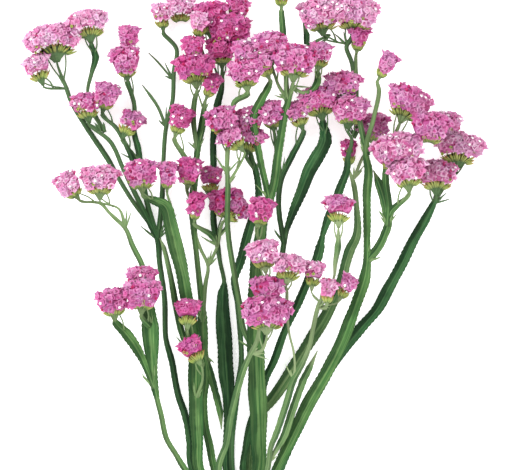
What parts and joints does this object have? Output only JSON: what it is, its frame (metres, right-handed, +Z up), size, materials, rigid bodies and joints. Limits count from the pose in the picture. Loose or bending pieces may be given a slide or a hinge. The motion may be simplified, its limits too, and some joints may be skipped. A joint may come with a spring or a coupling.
{
  "type": "dried flower bunch",
  "caption": "Dried statice bunch, lying down: flat winged green stems that fork again and again and end in one-sided combs of papery pink calyces, held by an elastic band.",
  "frame": {"origin": "under the middle of the elastic band, on the flat spot where the band rests on the surface", "axes": "+Y runs from the band to the flowers, +Z is up from the surface that the bunch lies on, +X is to the right"},
  "size_m": [0.3512, 0.5192, 0.0786],
  "materials": {
    "stem_dark": "dull, dried dark green stem",
    "stem_mid": "dull, dried green stem with paler ribs",
    "stem_pale": "dull, dried pale green stem",
    "calyx_deep": "papery, matt, deep pink",
    "calyx_mid": "papery, matt, orchid pink",
    "calyx_light": "papery, matt, light pink",
    "elastic": "matt tan rubber"
  },
  "bodies": {
    "root": {"spray_low_left": "stem_mid", "spray_far_left": "stem_dark", "spray_centre_left": "stem_mid", "spray_centre": "stem_mid", "spray_dark": "stem_dark", "spray_wide_left": "stem_dark", "spray_ribbed": "stem_mid", "spray_front": "stem_pale", "spray_slender": "stem_dark", "spray_pale_right": "stem_pale", "spray_main_right": "stem_mid", "spray_outer_right": "stem_dark", "spray_thin_right": "stem_pale", "head_left_bank": "calyx_light", "head_low_outer": "calyx_mid", "head_low_inner": "calyx_mid", "head_corner": "calyx_light", "head_left_middle": "calyx_mid", "head_left_spike": "calyx_light", "head_stack": "calyx_mid", "head_small_oblique": "calyx_mid", "head_top_left": "calyx_light", "head_centre_left": "calyx_mid", "head_upright_left": "calyx_mid", "head_single_upper": "calyx_deep", "head_single_lower": "calyx_deep", "head_nodding": "calyx_deep", "head_centre_small": "calyx_deep", "head_tilted": "calyx_deep", "head_upper_centre": "calyx_deep", "head_pale": "calyx_light", "head_right_of_centre": "calyx_mid", "head_upright_centre": "calyx_deep", "head_deep_top": "calyx_deep", "head_comb": "calyx_deep", "head_round_centre": "calyx_deep", "head_mid_right": "calyx_mid", "head_top_right": "calyx_mid", "head_ball": "calyx_deep", "head_crown": "calyx_light", "head_mid_left": "calyx_mid", "head_inner_right": "calyx_mid", "head_front_top": "calyx_light", "head_front_low": "calyx_mid", "head_upper_right": "calyx_mid", "head_top_far": "calyx_light", "head_inner_low": "calyx_mid", "head_bud": "calyx_deep", "head_right_wing": "calyx_mid", "head_tip_right": "calyx_mid", "head_spike_right": "calyx_mid", "head_right_bank": "calyx_light", "head_right_crest": "calyx_mid", "head_right_low": "calyx_light", "head_right_outer": "calyx_light", "head_comb_right": "calyx_mid", "head_thin_first": "calyx_light", "head_thin_second": "calyx_light", "head_thin_third": "calyx_mid", "band": "elastic"}
  },
  "joints": []
}
